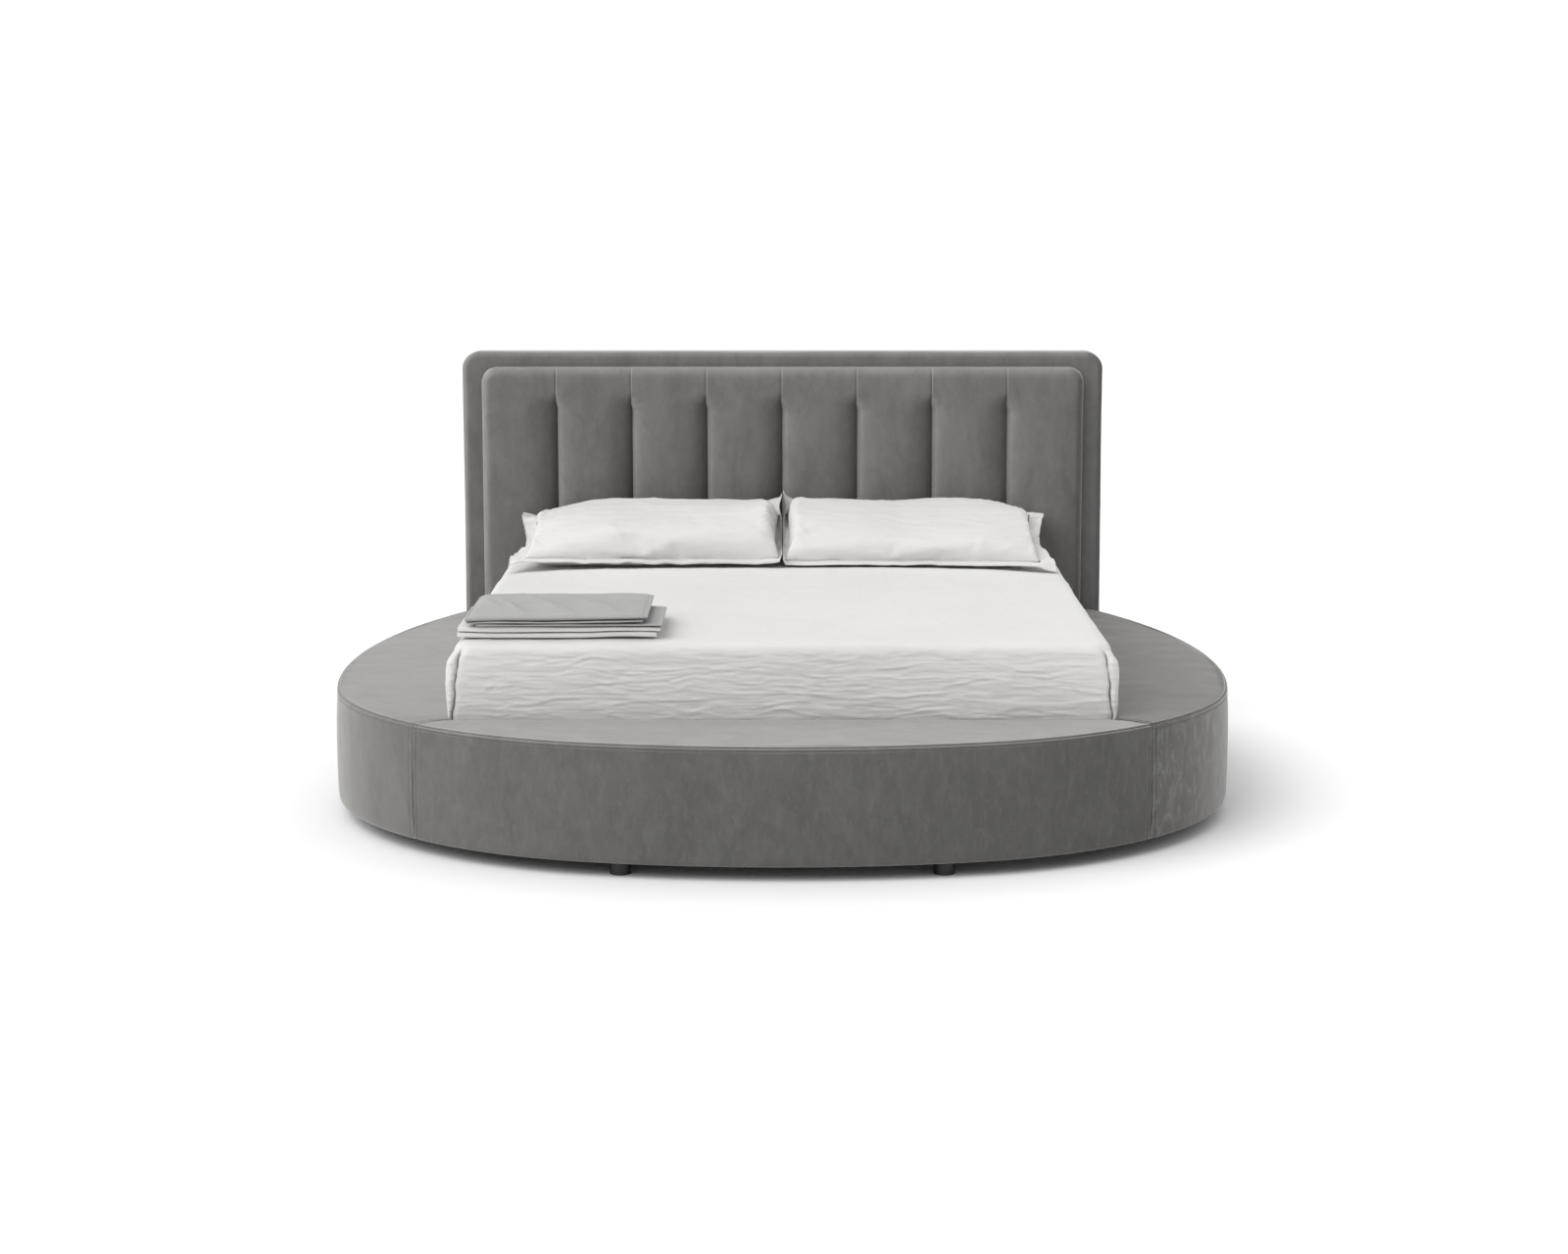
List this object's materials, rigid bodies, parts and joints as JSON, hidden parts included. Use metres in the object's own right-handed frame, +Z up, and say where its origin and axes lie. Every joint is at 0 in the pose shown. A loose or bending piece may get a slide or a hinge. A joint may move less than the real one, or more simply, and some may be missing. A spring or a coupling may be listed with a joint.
{
  "type": "bed",
  "caption": "Round upholstered bed: padded modular base round a mattress well, tall headboard with upright sewn channels, made up with a tucked linen cover and pillows.",
  "frame": {"origin": "on the floor, at the middle of the bed's footprint", "axes": "+X to the bed's right as seen from the foot end, +Y to the headboard, +Z up"},
  "size_m": [2.704, 2.611, 1.262],
  "materials": {
    "velvet": "matte",
    "foam": "matte",
    "plywood": "matte",
    "timber": "matte",
    "slat_wood": "satin",
    "frame_steel": "satin",
    "holder_plastic": "matte",
    "foot_plastic": "matte",
    "bolt_steel": "satin",
    "back_cloth": "matte",
    "ticking": "matte",
    "white_linen": "matte",
    "grey_linen": "matte"
  },
  "bodies": {
    "base": {"bottom_board_front": "plywood", "bottom_board_left": "plywood", "bottom_board_right": "plywood", "centre_legs": "frame_steel", "channel_board": "plywood", "channel_pad_1": "velvet", "channel_pad_2": "velvet", "channel_pad_3": "velvet", "channel_pad_4": "velvet", "channel_pad_5": "velvet", "channel_pad_6": "velvet", "channel_pad_7": "velvet", "channel_pad_8": "velvet", "cover_front": "velvet", "cover_left": "velvet", "cover_right": "velvet", "feet_front": "foot_plastic", "feet_left": "foot_plastic", "feet_right": "foot_plastic", "foam_front": "foam", "foam_left": "foam", "foam_right": "foam", "headboard_back_cloth": "back_cloth", "headboard_battens": "timber", "headboard_board": "plywood", "headboard_bolts": "bolt_steel", "headboard_cover": "velvet", "headboard_feet": "foot_plastic", "headboard_foam": "foam", "module_bolts": "bolt_steel", "outer_wall_front": "plywood", "outer_wall_left": "plywood", "outer_wall_right": "plywood", "ribs": "plywood", "slat_frame_centre": "frame_steel", "slat_frame_foot": "frame_steel", "slat_frame_head": "frame_steel", "slat_frame_left": "frame_steel", "slat_frame_right": "frame_steel", "slat_holders_centre": "holder_plastic", "slat_holders_left": "holder_plastic", "slat_holders_right": "holder_plastic", "slat_ledges": "timber", "slats_left": "slat_wood", "slats_right": "slat_wood", "top_board_front": "plywood", "top_board_left": "plywood", "top_board_right": "plywood", "well_rail_front": "timber", "well_rail_head": "timber", "well_rail_left": "timber", "well_rail_right": "timber"},
    "mattress": {"mattress": "ticking", "bed_cover": "white_linen"},
    "pillow_left": {"pillow_left": "white_linen"},
    "pillow_right": {"pillow_right": "white_linen"},
    "folded_sheet": {"folded_sheet": "white_linen"},
    "folded_pillowcase": {"folded_pillowcase": "grey_linen"},
    "folded_cover": {"folded_cover": "grey_linen"}
  },
  "joints": [
    {"name": "mattress_lift", "type": "slide", "parent": "base", "child": "mattress", "axis": [0, 0, 1], "range_m": [0, 0.35]},
    {"name": "pillow_left_lift", "type": "slide", "parent": "mattress", "child": "pillow_left", "axis": [0, 0, 1], "range_m": [0, 0.4]},
    {"name": "pillow_right_lift", "type": "slide", "parent": "mattress", "child": "pillow_right", "axis": [0, 0, 1], "range_m": [0, 0.4]},
    {"name": "folded_sheet_lift", "type": "slide", "parent": "mattress", "child": "folded_sheet", "axis": [0, 0, 1], "range_m": [0, 0.3]},
    {"name": "folded_pillowcase_lift", "type": "slide", "parent": "folded_sheet", "child": "folded_pillowcase", "axis": [0, 0, 1], "range_m": [0, 0.2]},
    {"name": "folded_cover_lift", "type": "slide", "parent": "folded_pillowcase", "child": "folded_cover", "axis": [0, 0, 1], "range_m": [0, 0.2]}
  ]
}
